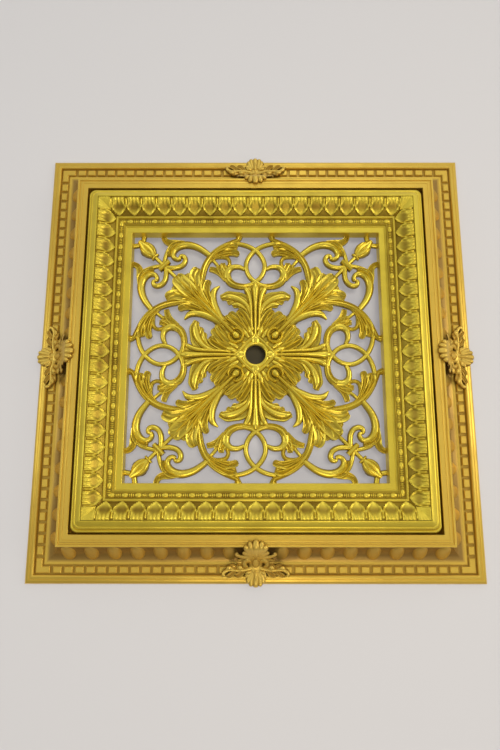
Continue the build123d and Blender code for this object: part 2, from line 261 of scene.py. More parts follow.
cove_first = len(rim) + len(band) - 1
cove_last = cove_first + len(cove)
stations = [
    [(0, u - half_side, z) for u, z in section],
    [(u - half_side, u - half_side, z) for u, z in section],
    [(u - half_side, 0, z) for u, z in section],
]
total = count * len(stations)
ends = [tuple(range(count)), tuple(range(total - 1, total - count - 1, -1))]
faces = ends + tube_faces(len(stations), count, closed=False)
corner = plain_mesh("frame_corner", sum(stations, []), faces, smooth=30)

# Painted shade: the floor of the tooth band and the inner part of the cove are darkened
band_dark, cove_dark = 0.75, 0.9
shade = [band_dark if z == band_floor else 0.0 for u, z in section]
shade[cove_first + 2:cove_last - 1] = [cove_dark] * (len(cove) - 3)
corner.data.attributes.new("hollow", "FLOAT", "POINT").data.foreach_set("value", shade * len(stations))
cove_mark = corner.data.attributes.new("cove", "BOOLEAN", "FACE")
for polygon in corner.data.polygons[len(ends):]:
    cove_mark.data[polygon.index].value = cove_first <= (polygon.index - len(ends)) % count < cove_last


def new_tree(name, **sizes):
    """An empty geometry tree with one named input for each size, object or material."""
    tree = bpy.data.node_groups.new(name, "GeometryNodeTree")
    tree.interface.new_socket("Geometry", in_out="INPUT", socket_type="NodeSocketGeometry")
    tree.interface.new_socket("Geometry", in_out="OUTPUT", socket_type="NodeSocketGeometry")
    kinds = {bool: "Bool", int: "Int", float: "Float",
             bpy.types.Object: "Object", bpy.types.Material: "Material"}
    for key, value in sizes.items():
        tree.interface.new_socket(key, in_out="INPUT", socket_type="NodeSocket" + kinds[type(value)])
    return tree, tree.nodes.new("NodeGroupInput").outputs, tree.nodes.new("NodeGroupOutput").inputs[0]


def settle(piece, tree, sharp, **sizes):
    """Runs the tree on the piece with these sizes and leaves a plain mesh with no modifier."""
    modifier = piece.modifiers.new("dress", "NODES")
    modifier.node_group = tree
    for item in tree.interface.items_tree:
        if item.in_out == "INPUT" and item.name in sizes:
            modifier[item.identifier] = sizes[item.name]
    view = bpy.context.evaluated_depsgraph_get()
    mesh = bpy.data.meshes.new_from_object(piece.evaluated_get(view))
    piece.modifiers.remove(modifier)
    shell = bmesh.new()
    shell.from_mesh(mesh)
    bmesh.ops.recalc_face_normals(shell, faces=shell.faces)
    shell.to_mesh(mesh)
    shell.free()
    piece.data = mesh
    mesh.shade_smooth()
    mesh.set_sharp_from_angle(angle=math.radians(sharp))


def shape_of(tree, unit):
    """The mesh of an object that the tree is given."""
    return add_node(tree, "GeometryNodeObjectInfo", {"Object": unit}).outputs["Geometry"]


def attribute(tree, name, kind="FLOAT"):
    """The values of a named attribute."""
    return add_node(tree, "GeometryNodeInputNamedAttribute", {"Name": name}, data_type=kind).outputs[0]


def row(tree, unit, count, pitch, first):
    """Copies of a unit at an even pitch along X."""
    start = add_node(tree, "ShaderNodeCombineXYZ", {"X": first}).outputs[0]
    offset = add_node(tree, "ShaderNodeCombineXYZ", {"X": pitch}).outputs[0]
    line = add_node(tree, "GeometryNodeMeshLine", {
        "Count": count, "Start Location": start, "Offset": offset}).outputs[0]
    copies = add_node(tree, "GeometryNodeInstanceOnPoints", {
        "Points": line, "Instance": shape_of(tree, unit)}).outputs[0]
    return add_node(tree, "GeometryNodeRealizeInstances", {0: copies}).outputs[0]


def joined(tree, *parts):
    """All the parts as one geometry."""
    join = tree.nodes.new("GeometryNodeJoinGeometry")
    for part in parts:
        tree.links.new(part, join.inputs[0])
    return join.outputs[0]


def turned(tree, part, degrees, flip=1):
    """The part turned about Z, after a mirror in Y where flip is -1."""
    moved = add_node(tree, "GeometryNodeTransform", {
        "Geometry": part, "Rotation": (0, 0, math.radians(degrees)), "Scale": (1, flip, 1)}).outputs[0]
    return moved if flip > 0 else add_node(tree, "GeometryNodeFlipFaces", {"Mesh": moved}).outputs[0]


def both_arms(tree, part):
    """The part and its mirror image in the diagonal."""
    return joined(tree, part, turned(tree, part, 90, -1))


def four_sides(tree, part):
    """The part on each of the four sides."""
    return joined(tree, part, *(turned(tree, part, degrees) for degrees in (90, 180, 270)))


def painted(tree, part, paint):
    """The part as real geometry, because the export drops instances, under one paint."""
    whole = add_node(tree, "GeometryNodeRealizeInstances", {0: part}).outputs[0]
    return add_node(tree, "GeometryNodeSetMaterial", {"Geometry": whole, "Material": paint}).outputs[0]


def block(outline, low, high, inset):
    """Points and faces of a prism with a bevelled top, its outline counter-clockwise."""
    size = len(outline)
    points = [(x, y, low) for x, y in outline] + [(x, y, high - inset) for x, y in outline]
    for i, (x, y) in enumerate(outline):
        before, after = Vector(outline[i - 1]), Vector(outline[(i + 1) % size])
        here = Vector((x, y))
        ahead, behind = (after - here).normalized(), (here - before).normalized()
        side = Vector((-ahead.y, ahead.x)) + Vector((-behind.y, behind.x))
        side *= inset / max(0.5, side.length_squared / 2)
        points.append((x + side.x, y + side.y, high))
    faces = [tuple(range(size - 1, -1, -1)), tuple(range(2 * size, 3 * size))]
    for level in (0, size):
        for i in range(size):
            j = (i + 1) % size
            faces.append((level + i, level + j, level + size + j, level + size + i))
    return points, faces


def grid_faces(rows, columns):
    """Faces of a grid of points, and the loop of points round its edge."""
    faces = []
    for i in range(rows - 1):
        for j in range(columns - 1):
            k = i * columns + j
            faces.append((k, k + 1, k + columns + 1, k + columns))
    edge = list(range(columns)) + [i * columns + columns - 1 for i in range(1, rows)]
    edge += [rows * columns - 2 - j for j in range(columns - 1)]
    edge += [i * columns for i in range(rows - 2, 0, -1)]
    return faces, edge


def cove_at(turn):
    """Place (u, z) on the cove's hollow and the direction out of it, by the angle round its centre."""
    a = math.radians(turn)
    (centre_u, centre_z), (radius_u, radius_z) = cove_centre, cove_radii
    outward = Vector((-math.cos(a) / radius_u, -math.sin(a) / radius_z)).normalized()
    return (centre_u + radius_u * math.cos(a), centre_z + radius_z * math.sin(a)), outward


tooth_form = {"low": 3.4, "high": 7.6, "inset": 1.1}
tooth_half = 7
tooth_outer, tooth_inner, tooth_arm = 17.7 - half_side, 28.3 - half_side, 41.5 - half_side
tooth = plain_mesh("tooth", *block(
    [(-tooth_half, tooth_outer), (tooth_half, tooth_outer), (tooth_half, tooth_inner),
     (-tooth_half, tooth_inner)], **tooth_form), smooth=20)
corner_tooth = plain_mesh("corner_tooth", *block(
    [(tooth_outer, tooth_outer), (tooth_arm, tooth_outer), (tooth_arm, tooth_inner),
     (tooth_inner, tooth_inner), (tooth_inner, tooth_arm), (tooth_outer, tooth_arm)],
    **tooth_form), smooth=20)

egg_low, egg_middle, egg_past, egg_high = 276, 305, 309, 335
egg_half_width, egg_tip, egg_swell, egg_sunk = 12.5, 0.5, 7.6, 1.4
egg_turns = np.append(np.linspace(egg_low, egg_middle, 7), np.linspace(egg_past, egg_high, 6))
egg_across = np.linspace(-1, 1, 11)
egg_points = []
for turn in egg_turns:
    along = (egg_middle - turn) / (egg_middle - egg_low if turn < egg_middle else egg_high - egg_middle)
    (u, z), outward = cove_at(turn)
    taper = math.sqrt(max(0.0, 1 - along ** 2))
    for a in egg_across:
        swell = egg_swell * math.sqrt(max(0.0, 1 - a ** 2)) * taper - egg_sunk
        x = a * (egg_half_width * taper + egg_tip)
        egg_points.append((x, u + outward.x * swell - half_side, z + outward.y * swell))
egg_faces, egg_edge = grid_faces(len(egg_turns), len(egg_across))
egg_faces.append(tuple(reversed(egg_edge)))
egg = plain_mesh("egg", egg_points, egg_faces, smooth=60)
egg_mark = egg.data.attributes.new("cove", "BOOLEAN", "FACE")
egg_mark.data.foreach_set("value", [True] * len(egg_faces))

sizes = {"Tooth": tooth, "Teeth": 18, "Tooth Pitch": 18.5 * mm, "First Tooth": (53.7 - half_side) * mm,
         "Corner Tooth": corner_tooth, "Egg": egg, "Eggs": 8, "Egg Pitch": 38.3 * mm,
         "First Egg": (74.3 - half_side) * mm, "Gold": frame_gold, "Cove Gold": cove_gold}
dress_corner, given, out = new_tree("dress_corner", **sizes)
teeth = row(dress_corner, given["Tooth"], given["Teeth"], given["Tooth Pitch"], given["First Tooth"])
eggs = row(dress_corner, given["Egg"], given["Eggs"], given["Egg Pitch"], given["First Egg"])
arms = both_arms(dress_corner, joined(dress_corner, teeth, eggs))
angle_tooth = shape_of(dress_corner, given["Corner Tooth"])
dressed = joined(dress_corner, given["Geometry"], arms, angle_tooth)
# The cove's faces and the eggs take the darker gold, painted shade
cove_shaded = add_node(dress_corner, "GeometryNodeSetMaterial", {
    "Geometry": painted(dress_corner, dressed, given["Gold"]),
    "Selection": attribute(dress_corner, "cove", "BOOLEAN"), "Material": given["Cove Gold"]}).outputs[0]
dress_corner.links.new(cove_shaded, out)
settle(corner, dress_corner, sharp=32, **sizes)
for unit in (tooth, corner_tooth, egg):
    bpy.data.objects.remove(unit)


def copy_turned(source, name, degrees):
    """A copy of a piece turned about Z, with the turn in its mesh."""
    made = add_object(name, source.data.copy())
    made.data.transform(Matrix.Rotation(math.radians(degrees), 4, "Z"))
    return made


corner.name = "frame_corner_front_left_moulding"
frame_pieces = [(corner, "frame_corner_front_left")]
for node, degrees in (
    ("frame_corner_front_right", 90),
    ("frame_corner_back_right", 180),
    ("frame_corner_back_left", 270),
):
    frame_pieces.append((copy_turned(corner, node + "_moulding", degrees), node))
for piece, node in frame_pieces:
    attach(piece, "root")
    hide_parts(node)


# The panel's border: one moulding in lemon gold that drops into the frame. A stepped outer edge with
# rounded corners rises to a crest, and falls inwards over a row of ribbed tongues, a row of beads and
# reels, and a flat inner band.
panel_gold = gold_paint("panel_gold", (0.78, 0.59, 0.055), (0.22, 0.13, 0.008), 0.33, 0.25)
panel_back = 27.5
bed_start, bed_run, bed_top, bed_fall, bed_straight = 108, 28, 73.6, 17.6, 0.35


def tongue_level(u):
    """Height of the sloping bed of the tongue row at u millimetres from the frame's outer edge."""
    s = (u - bed_start) / bed_run
    return bed_top - bed_fall * (bed_straight * s + (1 - bed_straight) * s * s)


# The border's section: u, z, and the radius of its four corners there, which is small on the inner side
inner_radius, bed_depth = 0.3, 3.4
outer_edge = [
    (87.5, 3, 11), (87.5, 57, 11), (87.8, 58.8, 11), (88.6, 59.9, 10.9), (89.8, 60.4, 10.7),
    (91, 60.1, 10.4), (91.7, 59.5, 10.2), (92.2, 60.2, 10), (92.6, 63.4, 9.9), (93.4, 66.4, 9.8),
    (94.6, 68.5, 9.6), (95.9, 69.5, 9.3), (97, 69.7, 9), (97.5, 69.3, 8.8), (98, 69.9, 8.5),
    (105.6, 73.9, 1.6), (106.6, 74.3, 0.6), (107.4, 74.2, 0.4)]
bed = [(u, tongue_level(u) - bed_depth) for u in (109, 113.6, 118, 122, 126, 130.4, 134)]
inner_face = [(107.9, 72.8)] + bed + [
    (135.6, 54.2), (136.6, 54.4), (137, 55.8), (137.8, 56.2), (139.4, 56.2), (140.2, 55.6), (140.6, 53.2),
    (141.2, 52.6), (150.2, 52.6), (150.8, 53.4), (151.4, 53.3), (151.8, 50.8), (152.3, 50.3), (154.3, 50.3),
    (155, 49.8), (155.3, 48.9), (164.2, 48.9), (165, 48.1), (165, panel_back)]
inner_back = [(162, panel_back), (162, 45.9), (152, 45.9), (148, 49.4), (141, 49.4), (134, 51.4),
              (122, 62.6), (107, 70)]
outer_back = [(98, 65.6, 5), (95.4, 62, 8), (94.6, 57, 8), (90.5, 55.6, 9), (90.5, 3, 9)]
border = outer_edge + [(u, z, inner_radius) for u, z in inner_face + inner_back] + outer_back
corner_steps = 8
ring_points = []
for quarter, (sign_x, sign_y) in enumerate(corner_signs):
    for turn in np.radians(np.linspace(180, 270, corner_steps)) + quarter * math.pi / 2:
        for u, z, radius in border:
            centre = half_side - u - radius
            x = sign_x * centre + radius * math.cos(turn)
            y = sign_y * centre + radius * math.sin(turn)
            ring_points.append((x, y, z))
spokes = 4 * corner_steps
panel_border = plain_mesh("panel_border", ring_points, tube_faces(spokes, len(border)), smooth=32)
# Painted shade along the border's section: darker under the tongues, in the bead channel and at the steps
# of the inner band
shade_places = (107, 108, 136, 136.8, 140.4, 141.4, 150, 151, 151.6, 152.4, 154.6, 155.2)
shade_values = (0, 1, 1, 0, 0.3, 0.9, 0.9, 0, 0.7, 0.3, 0.3, 0)
shade = [float(np.interp(u, shade_places, shade_values)) for u, z, radius in border]
panel_border.data.attributes.new("hollow", "FLOAT", "POINT").data.foreach_set("value", shade * spokes)


def relief_mesh(name, grid, hollow_shades, skirt=2.5, smooth=50):
    """A closed relief from a grid of points: the face, a skirt all round it, and a flat back, with painted
    shade given for each grid point and full on the skirt and back.
    """
    points = [p for line in grid for p in line]
    faces, edge = grid_faces(len(grid), len(grid[0]))
    base = len(points)
    points += [(points[i][0], points[i][1], points[i][2] - skirt) for i in edge]
    for i in range(len(edge)):
        j = (i + 1) % len(edge)
        faces.append((edge[i], base + i, base + j, edge[j]))
    faces.append(tuple(range(base + len(edge) - 1, base - 1, -1)))
    made = plain_mesh(name, points, faces, smooth)
    mask = made.data.attributes.new("hollow", "FLOAT", "POINT")
    mask.data.foreach_set("value", [h for line in hollow_shades for h in line] + [1.0] * len(edge))
    return made


def ramp(value, start, run):
    """0 up to the start, 1 past the run, and straight between them."""
    return min(1.0, max(0.0, (value - start) / run))


fluted_end, tip_start = 0.42, 0.6
tongue_height, dish_depth, rim_height, flute_height, flute_count = 1.5, 2.9, 1.6, 1.6, 4.5
dart_height, dart_half_width, gap_depth = 3.2, 0.06, 1.3


def tongue_relief(a, s):
    """Relief over the bed, a the share across and s down: flutes, a dished middle, a rim, and darts."""
    shoulder = 0.4 + 0.09 * ramp(s, fluted_end, tip_start - fluted_end)
    width = shoulder * (1 - ramp(s, tip_start, 1 - tip_start) ** 1.5) ** 0.85
    inside = width - abs(a)
    if inside > 0:
        dish = dish_depth * math.sin(math.pi * ramp(s, 0.2, 0.72)) * ramp(inside, 0, 0.22)
        raised = rim_height * math.exp(-((inside - 0.05) / 0.045) ** 2) * ramp(s, 0.3, 0.2)
        fluted = flute_height * math.cos(2 * math.pi * flute_count * a) * (1 - ramp(s, 0, fluted_end))
        return tongue_height - dish + raised + fluted
    reach = min(ramp(s, 0.05, 1 / 12), 1 - ramp(s, 0.48, 0.1))
    return dart_height * reach * math.exp(-((abs(a) - 0.5) / dart_half_width) ** 2) - gap_depth


tongue_pitch, tongue_start, tongue_run = 26.95, 108.2, 27.6
tongue_gain, tongue_sunk, crest_gain, crest_fade = 0.75, 1, 0.2, 0.05
# Painted shade on the tongues and corner tongues: darker where the relief is low, darkest in the gaps by
# the darts
bright_relief, tongue_dark, corner_dark = 0.9, 2.9, 1.8
tongue_across = np.linspace(-0.5, 0.5, 33)
tongue_down = (
    0, 0.05, 0.12, 0.19, 0.25, 0.29, 0.34, 0.42, 0.5, 0.58, 0.66, 0.73, 0.8, 0.86, 0.92, 0.97, 1)
tongue_grid, tongue_hollow_shade = [], []
for s in tongue_down:
    u = tongue_start + tongue_run * s
    slope = tongue_level(u + 0.5) - tongue_level(u - 0.5)
    lean, stand = -slope / math.hypot(1, slope), 1 / math.hypot(1, slope)
    level = tongue_level(u) - tongue_sunk
    gain = tongue_gain * min(1.0, crest_gain + s / crest_fade)
    reliefs = [tongue_relief(a, s) for a in tongue_across]
    tongue_grid.append([
        (a * tongue_pitch, u + lean * r * gain - half_side, level + stand * r * gain)
        for a, r in zip(tongue_across, reliefs)])
    tongue_hollow_shade.append([ramp(bright_relief - r, 0, tongue_dark) for r in reliefs])
tongue = relief_mesh("tongue", tongue_grid, tongue_hollow_shade)

corner_height, corner_dish, corner_flute, corner_flute_count = 1.9, 1.1, 0.7, 4


def corner_relief(near, s):
    """Relief of half a corner tongue, near from the diagonal (0) to the row's end (1), and s down."""
    body = corner_height * ramp(1 - near, 0, 1 / 6)
    dish = corner_dish * math.exp(-((s - 0.6) / 0.22) ** 2) * (1 - near)
    fluted = corner_flute * math.cos(2 * math.pi * corner_flute_count * near) * (1 - ramp(s, 0, 0.5))
    return body - dish + fluted


corner_run, corner_end, corner_gain, corner_sunk = 20.5, 128.8, 0.5, 0.7
corner_across = np.linspace(0, 1, 17)
corner_grid, corner_hollow_shade = [], []
for s in np.linspace(0, 1, 12):
    u = tongue_start + corner_run * s
    level = tongue_level(u) - corner_sunk
    reliefs = [corner_relief(near, s) for near in corner_across]
    corner_grid.append([
        (u + near * (corner_end - u) - half_side, u - half_side, level + corner_gain * r)
        for near, r in zip(corner_across, reliefs)])
    corner_hollow_shade.append([ramp(bright_relief - r, 0, corner_dark) for r in reliefs])
corner_tongue = relief_mesh("corner_tongue", corner_grid, corner_hollow_shade)


def turned_form(profile, steps):
    """Points and faces of a form turned about X, from pairs of place and radius with a pole at each end."""
    turns = [2 * math.pi * k / steps for k in range(steps)]
    points = [(profile[0][0], 0, 0)]
    for x, radius in profile[1:-1]:
        points += [(x, radius * math.cos(a), radius * math.sin(a)) for a in turns]
    points.append((profile[-1][0], 0, 0))
    faces = []
    last = 1 + (len(profile) - 3) * steps
    for k in range(steps):
        n = (k + 1) % steps
        faces.append((0, 1 + n, 1 + k))
        for base in range(1, last, steps):
            faces.append((base + k, base + n, base + steps + n, base + steps + k))
        faces.append((last + k, last + n, len(points) - 1))
    return points, faces


bead_line, bead_level, bead_pitch, bead_breadth, bead_sides = 145.8 - half_side, 52.7, 21.85, 1.45, 10
reel_half, reel_edge, reel_edge_share = 1.1, 0.9, 0.75
bead_parts = [[(-5.4, 0), (-4.9, 1.5), (-3.2, 2.4), (0, 2.7), (3.2, 2.4), (4.9, 1.5), (5.4, 0)]]
for middle, radius in ((7.8, 1.9), (10.9, 2.5), (14.0, 1.9)):
    bead_parts.append([
        (middle - reel_half, 0), (middle - reel_edge, radius * reel_edge_share), (middle, radius),
        (middle + reel_edge, radius * reel_edge_share), (middle + reel_half, 0)])
bead_points, bead_faces = [], []
for profile in bead_parts:
    points, faces = turned_form(profile, bead_sides)
    bead_faces += [tuple(i + len(bead_points) for i in f) for f in faces]
    bead_points += [(x, bead_line + bead_breadth * y, bead_level + z) for x, y, z in points]
bead = plain_mesh("bead", bead_points, bead_faces, smooth=50)

sizes = {"Tongue": tongue, "Tongues": 19, "Tongue Pitch": tongue_pitch * mm,
         "First Tongue": -9 * tongue_pitch * mm, "Corner Tongue": corner_tongue,
         "Bead": bead, "Beads": 22, "Bead Pitch": bead_pitch * mm,
         "First Bead": -10.75 * bead_pitch * mm, "Gold": panel_gold}
dress_border, given, out = new_tree("dress_border", **sizes)
tongues = row(dress_border, given["Tongue"], given["Tongues"], given["Tongue Pitch"], given["First Tongue"])
beads = row(dress_border, given["Bead"], given["Beads"], given["Bead Pitch"], given["First Bead"])
fan = both_arms(dress_border, shape_of(dress_border, given["Corner Tongue"]))
one_side = joined(dress_border, tongues, beads, fan)
dressed = joined(dress_border, given["Geometry"], four_sides(dress_border, one_side))
dress_border.links.new(painted(dress_border, dressed, given["Gold"]), out)
settle(panel_border, dress_border, sharp=38, **sizes)
for unit in (tongue, corner_tongue, bead):
    bpy.data.objects.remove(unit)
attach(panel_border, "root")
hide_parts("centre_panel")


# The pierced scrollwork: moulded in one with the border, open between its stems. Eight like parts of
# C-scrolls, looped stems, corner volutes and buds, and a great leaf on each diagonal and axis about
# the lamp hole, under the same lemon gold with a higher gloss.
def strand_tree(name, sizes):
    """A tree that gives each chain of points a moulded section, standing on the level called Back, with
    painted shade towards the foot of the section.
    """
    tree, given, out = new_tree(name, **sizes)
    half_width = attribute(tree, "half_width")
    chain = add_node(tree, "GeometryNodeMeshToCurve", {"Mesh": given["Geometry"]}).outputs[0]
    smooth = add_node(tree, "GeometryNodeCurveSplineType", {
        "Curve": chain}, spline_type="CATMULL_ROM").outputs[0]
    fine = add_node(tree, "GeometryNodeSetSplineResolution", {
        "Geometry": smooth, "Resolution": given["Steps"]}).outputs[0]
    upright = add_node(tree, "GeometryNodeSetCurveNormal", {"Curve": fine}, mode="Z_UP").outputs[0]
    loop = add_node(tree, "GeometryNodeMeshToCurve", {"Mesh": shape_of(tree, given["Section"])}).outputs[0]
    body = add_node(tree, "GeometryNodeCurveToMesh", {
        "Curve": upright, "Profile Curve": loop, "Scale": half_width, "Fill Caps": True}).outputs[0]
    place = tree.nodes.new("GeometryNodeInputPosition").outputs[0]
    apart = add_node(tree, "ShaderNodeSeparateXYZ", {0: place}).outputs
    share = add_node(tree, "ShaderNodeMath", {0: apart["Z"], 1: half_width}, operation="DIVIDE").outputs[0]
    # Painted shade: darker towards the foot of each section
    hollow = add_node(tree, "ShaderNodeMapRange", {
        "Value": share, "From Min": 0.25, "From Max": 0.95, "To Min": 1.0, "To Max": 0.0}).outputs[0]
    marked = add_node(tree, "GeometryNodeStoreNamedAttribute", {
        "Geometry": body, "Name": "hollow", "Value": hollow}, data_type="FLOAT", domain="POINT").outputs[0]
    height = add_node(tree, "ShaderNodeMath", {
        0: share, 1: attribute(tree, "rise"), 2: given["Back"]}, operation="MULTIPLY_ADD").outputs[0]
    level = add_node(tree, "ShaderNodeCombineXYZ", {
        "X": apart["X"], "Y": apart["Y"], "Z": height}).outputs[0]
    moulded = add_node(tree, "GeometryNodeSetPosition", {"Geometry": marked, "Position": level}).outputs[0]
    return tree, given, out, moulded


slender = 4.5
blunt_reach, blunt_width = 0.72, 0.82
end_rise, full_end_width = 0.35, 12


def chain_object(name, strands, fuller, blunt=False):
    """An edge chain for each strand, with its half widths and rises. Only a broad strand is made fuller."""
    mesh = bpy.data.meshes.new(name)
    points, edges, halves, rises = [], [], [], []
    for rise, *strand in strands:
        if blunt:
            (x, y, width), (end_x, end_y, _) = strand[-2:]
            strand.insert(-1, (
                x + blunt_reach * (end_x - x), y + blunt_reach * (end_y - y), blunt_width * width))
        for i, (x, y, width) in enumerate(strand):
            if i:
                edges.append((len(points) - 1, len(points)))
            points.append((x * mm, y * mm, 0))
            halves.append((width + (fuller if width > slender else 0)) * mm / 2)
            at_end = i in (0, len(strand) - 1)
            rises.append(rise * mm * (min(1.0, end_rise + width / full_end_width) if at_end else 1.0))
    mesh.from_pydata(points, edges, [])
    for key, values in (("half_width", halves), ("rise", rises)):
        mesh.attributes.new(key, "FLOAT", "POINT").data.foreach_set("value", values)
    return add_object(name, mesh)


def section_loop(name, half):
    """A closed section of unit half width from its right half, crown to foot. Its Y points down."""
    outline = half[:0:-1] + [(-x, y) for x, y in half]
    edges = [(i, (i + 1) % len(outline)) for i in range(len(outline))]
    mesh = bpy.data.meshes.new(name)
    mesh.from_pydata([(x, -y, 0) for x, y in outline], edges, [])
    return add_object(name, mesh)


round_section = section_loop("round_section", [
    (0, 1), (0.4, 0.93), (0.72, 0.72), (0.93, 0.4), (1, 0.05), (0.96, 0)])
ribbed_section = section_loop("ribbed_section", [
    (0, 1), (0.2, 0.93), (0.36, 0.66), (0.5, 0.62), (0.66, 0.8), (0.82, 0.72), (0.96, 0.38), (1, 0.05),
    (0.96, 0)])
leaf_section = section_loop("leaf_section", [
    (0, 0.82), (0.12, 0.7), (0.3, 0.56), (0.52, 0.6), (0.72, 0.86), (0.86, 0.9), (0.96, 0.62), (1, 0.08),
    (0.96, 0)])

# Each strand is its rise, then its points (x, y, width), in millimetres. The eightfold strands belong to
# the eighth between the Y axis and a diagonal, and are mirrored and turned. The fourfold ones lie on the
# axis, or along or across the diagonal, and are only turned.
eightfold_round = [
    (7, (34, 207.5, 7), (20, 204.5, 7.5), (9, 200, 7.5), (-2, 192.5, 7.5), (-10, 183.5, 7.5),
     (-15, 174, 7.5), (-16.8, 164, 7.5), (-14.5, 152, 7.5), (-8.5, 141.5, 7.5), (0, 134, 7.5),
     (9, 128.5, 8), (20, 125.5, 8)),
    (8.5, (82, 184, 9), (90, 190.5, 10), (100, 197.5, 11), (111, 202.5, 12), (124, 205, 13),
     (136, 203, 13), (145, 196.5, 11.5), (149, 187.5, 9.5), (146.5, 179.5, 8), (140, 176.5, 7),
     (135.5, 179, 6)),
    (8, (167, 160, 6), (158, 161, 7.5), (148, 160.5, 8.5), (138, 162, 8.5), (130, 167, 8.5),
     (126.5, 175, 8.5), (128.5, 181.5, 8), (134, 183, 7), (137, 180, 5)),
    (6.5, (150, 203, 6), (157, 196, 6.5), (161, 187, 6.5), (163.5, 177, 6.5), (164.5, 167, 6.5),
     (162, 157, 6.5)),
    (9, (58, 60, 10), (67, 76, 12.5), (74, 94, 12), (75.5, 108, 11), (73, 118, 9.5), (64, 126, 3)),
    (8, (50, 141, 13), (51, 151, 13), (46, 159, 11), (38, 162.5, 9), (28, 162, 8), (19, 157.5, 5)),
    (6, (64, 160, 5), (71, 169, 5), (78, 177, 5)),
    (6, (205, 207, 9), (203.5, 214, 8), (202.5, 223, 9)),
    (9.5, (40, 40, 3.5), (62, 66, 4), (80, 92, 4), (88, 114, 3.5), (87, 126, 2)),
    (10.5, (46, 46, 3.5), (72, 76, 4), (95, 104, 4.5), (107, 128, 4.5), (109, 144, 2)),
    (10, (60, 60, 4), (88, 91, 4), (108, 117, 4.5), (121, 138, 2)),
    (10, (85, 174, 3), (70, 188, 4), (54, 196.5, 4.5), (40, 200.5, 4), (34, 199, 2)),
    (9, (82, 170, 3), (68, 182, 3.5), (52, 188, 4), (40, 189, 2.5)),
    (9.5, (8, 72, 5), (14, 88, 8), (26, 99, 11), (40, 105, 13), (52, 106, 10), (61, 103.5, 3)),
    (8, (14, 80, 4), (24, 88, 7), (34, 92, 8.5), (42, 91, 3)),
    (11.5, (8, 44, 3), (17, 61, 4.5), (25, 74, 4), (30, 79, 2)),
    (10.5, (14, 44, 3), (26, 57, 4.5), (38, 67, 4.5), (46, 73, 2)),
    (9.5, (24, 46, 3), (36, 54, 4.5), (47, 62, 4.5), (54, 67, 2)),
    (11.5, (0, 38, 5), (4.5, 30, 7), (10.5, 25, 7), (18, 18, 7)),
    (10, (5, 38, 4), (7, 62, 5), (8, 90, 6), (11, 108, 8), (16, 119, 9), (21, 124, 4)),
    (12, (132, 206, 3), (143, 203, 4), (150, 196, 4), (153, 188, 2)),
    (13.5, (25.7, 25.7, 4.6), (29.7, 23, 4.6), (34.5, 22, 4.6), (39.3, 23, 4.6), (43.3, 25.7, 4.6),
     (46, 29.7, 4.6), (47, 34.5, 4.6), (45.5, 39.5, 4)),
    (11.5, (186, 180, 4), (197, 185, 7), (205, 194, 6), (208, 203, 3)),
    (10.5, (5, 33, 6), (9, 42, 10), (13, 53, 4)),
    (10, (12, 30, 6), (17, 38, 9), (22, 47, 4)),
]
eightfold_ribbed = [
    (8.5, (97, 112, 6), (96.5, 125, 8.5), (95.5, 140, 10), (92.5, 157, 11), (87, 171, 11), (79, 183, 11),
     (68, 194, 10), (54, 203, 9), (40, 209.5, 8), (31.5, 214, 8), (29, 223, 13)),
    (8, (0, 128, 8), (9, 126.5, 9), (20, 125, 10), (33, 126.5, 11), (44, 132, 12.5), (50, 141, 13),
     (51, 149, 11)),
    (6, (84, 176, 7), (72, 181, 7), (60, 182, 7), (50.5, 179, 6), (46.5, 172, 5.5), (48, 164, 6),
     (53, 158, 6)),
]
eightfold_leaf = [
    (7, (45, 134, 8), (53, 146, 9), (56, 158, 8), (55, 166, 4)),
    (7.5, (48, 135, 8), (58, 149, 10), (64, 160, 9), (66, 166, 4)),
    (7, (52, 138, 8), (64, 151, 9), (74, 156, 8), (83, 158, 5)),
    (6.5, (54, 152, 7), (58, 162, 8), (58.5, 170, 5)),
    (9, (82, 180, 9), (66, 192, 11), (52, 199, 13), (40, 201, 12), (32, 199, 5)),
    (8, (80, 179, 9), (64, 187, 11), (50, 190, 12), (39, 189, 10), (29, 185.5, 4)),
    (7.5, (128, 205, 7), (142, 207, 10), (154, 207.5, 10), (162, 211, 8), (166, 217, 7), (167, 223, 8)),
    (10, (128, 206, 7), (141, 205, 10), (150, 199, 10), (155, 190, 8), (156, 182, 3)),
    (8, (68, 70, 10), (82, 95, 13), (88, 112, 13), (87, 126, 10), (82.5, 137.5, 3)),
    (7, (80, 82, 12), (93, 105, 13), (97, 122, 11), (96, 132, 8)),
    (9, (88, 90, 12), (102, 112, 17), (108, 132, 20), (109, 147, 18), (103, 160, 5)),
    (8, (96, 98, 14), (112, 120, 20), (122, 138, 20), (126, 148, 6)),
    (5, (3, 68, 12), (12, 90, 18), (24, 103, 18), (38, 106.5, 16), (49, 107, 17), (57, 105.5, 10),
     (62, 103, 2)),
    (5, (22, 98, 8), (34, 99, 9), (44, 97, 8), (50, 94, 3)),
    (5, (6, 66, 10), (15, 82, 14), (28, 91, 10), (41, 90.5, 4)),
    (9, (8, 42, 10), (16, 60, 14), (24, 73, 13), (32, 81, 3)),
    (8, (12, 40, 12), (24, 56, 16), (38, 68, 15), (48, 75, 4)),
    (7, (16, 38, 12), (32, 52, 14), (46, 62, 14), (56, 68, 4)),
]
